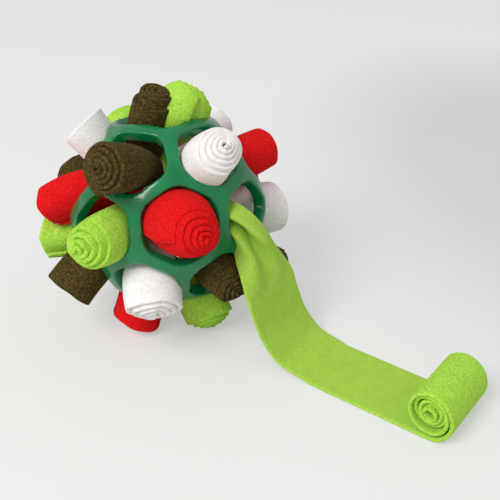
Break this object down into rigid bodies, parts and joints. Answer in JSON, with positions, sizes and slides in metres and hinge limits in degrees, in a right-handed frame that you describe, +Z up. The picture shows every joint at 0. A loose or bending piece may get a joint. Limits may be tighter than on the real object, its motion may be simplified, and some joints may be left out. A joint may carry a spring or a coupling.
{
  "type": "snuffle puzzle ball",
  "caption": "Rubber lattice ball, moulded in two halves, with wound fleece strips in its holes, one strip drawn out to a loose roll, for hiding dry food.",
  "frame": {"origin": "middle of the box's base, on the surface that the toy lies on", "axes": "+X to the right along the longest extent, from the ball to the loose roll; +Y away from the viewer; +Z up, the shortest extent"},
  "size_m": [0.3176, 0.2656, 0.1928],
  "materials": {
    "green_rubber": "glossy moulded",
    "lime_fleece": "brushed polyester fleece",
    "red_fleece": "brushed polyester fleece",
    "white_fleece": "brushed polyester fleece",
    "brown_fleece": "brushed polyester fleece",
    "nylon": "satin"
  },
  "bodies": {
    "ball": {"lattice_front_half": "green_rubber", "lattice_back_half": "green_rubber", "core_knot": "red_fleece", "core_tie": "nylon", "loose_strip": "lime_fleece"},
    "front_red_roll": {"roll_front_red": "red_fleece"},
    "upper_left_brown_roll": {"roll_upper_left_brown": "brown_fleece"},
    "upper_right_white_roll": {"roll_upper_right_white": "white_fleece"},
    "lower_right_brown_roll": {"roll_lower_right_brown": "brown_fleece"},
    "lower_left_white_roll": {"roll_lower_left_white": "white_fleece"},
    "left_lime_roll": {"roll_left_lime": "lime_fleece"},
    "top_brown_roll": {"roll_top_brown": "brown_fleece"},
    "top_lime_roll": {"roll_top_lime": "lime_fleece"},
    "far_right_red_roll": {"roll_far_right_red": "red_fleece"},
    "far_right_white_roll": {"roll_far_right_white": "white_fleece"},
    "far_right_brown_roll": {"roll_far_right_brown": "brown_fleece"},
    "bottom_red_roll": {"roll_bottom_red": "red_fleece"},
    "bottom_lime_roll": {"roll_bottom_lime": "lime_fleece"},
    "low_left_brown_roll": {"roll_low_left_brown": "brown_fleece"},
    "far_left_lime_roll": {"roll_far_left_lime": "lime_fleece"},
    "far_left_red_roll": {"roll_far_left_red": "red_fleece"},
    "far_left_white_roll": {"roll_far_left_white": "white_fleece"},
    "back_left_lime_roll": {"roll_back_left_lime": "lime_fleece"},
    "back_right_white_roll": {"roll_back_right_white": "white_fleece"},
    "back_right_brown_roll": {"roll_back_right_brown": "brown_fleece"},
    "back_low_red_roll": {"roll_back_low_red": "red_fleece"},
    "back_low_white_roll": {"roll_back_low_white": "white_fleece"},
    "back_left_brown_roll": {"roll_back_left_brown": "brown_fleece"},
    "back_centre_lime_roll": {"roll_back_centre_lime": "lime_fleece"}
  },
  "joints": [
    {"name": "pull_front_red", "type": "slide", "parent": "ball", "child": "front_red_roll", "axis": [0.4966, -0.8601, 0.1166], "range_m": [0, 0.015]},
    {"name": "pull_upper_left_brown", "type": "slide", "parent": "ball", "child": "upper_left_brown_roll", "axis": [-0.5073, -0.7937, 0.3355], "range_m": [0, 0.015]},
    {"name": "pull_upper_right_white", "type": "slide", "parent": "ball", "child": "upper_right_white_roll", "axis": [0.4281, -0.6512, 0.6267], "range_m": [0, 0.015]},
    {"name": "pull_lower_right_brown", "type": "slide", "parent": "ball", "child": "lower_right_brown_roll", "axis": [0.6184, -0.6843, -0.3864], "range_m": [0, 0.012]},
    {"name": "pull_lower_left_white", "type": "slide", "parent": "ball", "child": "lower_left_white_roll", "axis": [0.0924, -0.9001, -0.4258], "range_m": [0, 0.015]},
    {"name": "pull_left_lime", "type": "slide", "parent": "ball", "child": "left_lime_roll", "axis": [-0.5046, -0.8614, 0.0571], "range_m": [0, 0.015]},
    {"name": "pull_top_brown", "type": "slide", "parent": "ball", "child": "top_brown_roll", "axis": [0.225, -0.244, 0.9433], "range_m": [0, 0.015]},
    {"name": "pull_top_lime", "type": "slide", "parent": "ball", "child": "top_lime_roll", "axis": [0.4894, -0.2195, 0.844], "range_m": [0, 0.015]},
    {"name": "pull_far_right_red", "type": "slide", "parent": "ball", "child": "far_right_red_roll", "axis": [0.7532, 0.6369, 0.1646], "range_m": [0, 0.015]},
    {"name": "pull_far_right_white", "type": "slide", "parent": "ball", "child": "far_right_white_roll", "axis": [0.8737, 0.453, -0.1773], "range_m": [0, 0.015]},
    {"name": "pull_far_right_brown", "type": "slide", "parent": "ball", "child": "far_right_brown_roll", "axis": [0.9188, 0.1678, -0.3574], "range_m": [0, 0.015]},
    {"name": "pull_bottom_red", "type": "slide", "parent": "ball", "child": "bottom_red_roll", "axis": [-0.1277, -0.1355, -0.9825], "range_m": [0, 0.015]},
    {"name": "pull_bottom_lime", "type": "slide", "parent": "ball", "child": "bottom_lime_roll", "axis": [0.1779, -0.1528, -0.9721], "range_m": [0, 0.015]},
    {"name": "pull_low_left_brown", "type": "slide", "parent": "ball", "child": "low_left_brown_roll", "axis": [-0.7888, -0.358, -0.4996], "range_m": [0, 0.015]},
    {"name": "pull_far_left_lime", "type": "slide", "parent": "ball", "child": "far_left_lime_roll", "axis": [-0.9771, -0.1284, -0.1694], "range_m": [0, 0.015]},
    {"name": "pull_far_left_red", "type": "slide", "parent": "ball", "child": "far_left_red_roll", "axis": [-0.9887, -0.0874, -0.1215], "range_m": [0, 0.015]},
    {"name": "pull_far_left_white", "type": "slide", "parent": "ball", "child": "far_left_white_roll", "axis": [-0.5137, -0.2459, 0.822], "range_m": [0, 0.015]},
    {"name": "pull_back_left_lime", "type": "slide", "parent": "ball", "child": "back_left_lime_roll", "axis": [-0.343, 0.7708, 0.5369], "range_m": [0, 0.015]},
    {"name": "pull_back_right_white", "type": "slide", "parent": "ball", "child": "back_right_white_roll", "axis": [0.5235, 0.7527, 0.3993], "range_m": [0, 0.015]},
    {"name": "pull_back_right_brown", "type": "slide", "parent": "ball", "child": "back_right_brown_roll", "axis": [0.6716, 0.7373, -0.0729], "range_m": [0, 0.015]},
    {"name": "pull_back_low_red", "type": "slide", "parent": "ball", "child": "back_low_red_roll", "axis": [0.2039, 0.6474, -0.7343], "range_m": [0, 0.015]},
    {"name": "pull_back_low_white", "type": "slide", "parent": "ball", "child": "back_low_white_roll", "axis": [-0.4582, 0.4831, -0.7461], "range_m": [0, 0.015]},
    {"name": "pull_back_left_brown", "type": "slide", "parent": "ball", "child": "back_left_brown_roll", "axis": [-0.8359, 0.4462, 0.3197], "range_m": [0, 0.015]},
    {"name": "pull_back_centre_lime", "type": "slide", "parent": "ball", "child": "back_centre_lime_roll", "axis": [-0.2183, 0.9454, -0.2419], "range_m": [0, 0.015]}
  ]
}
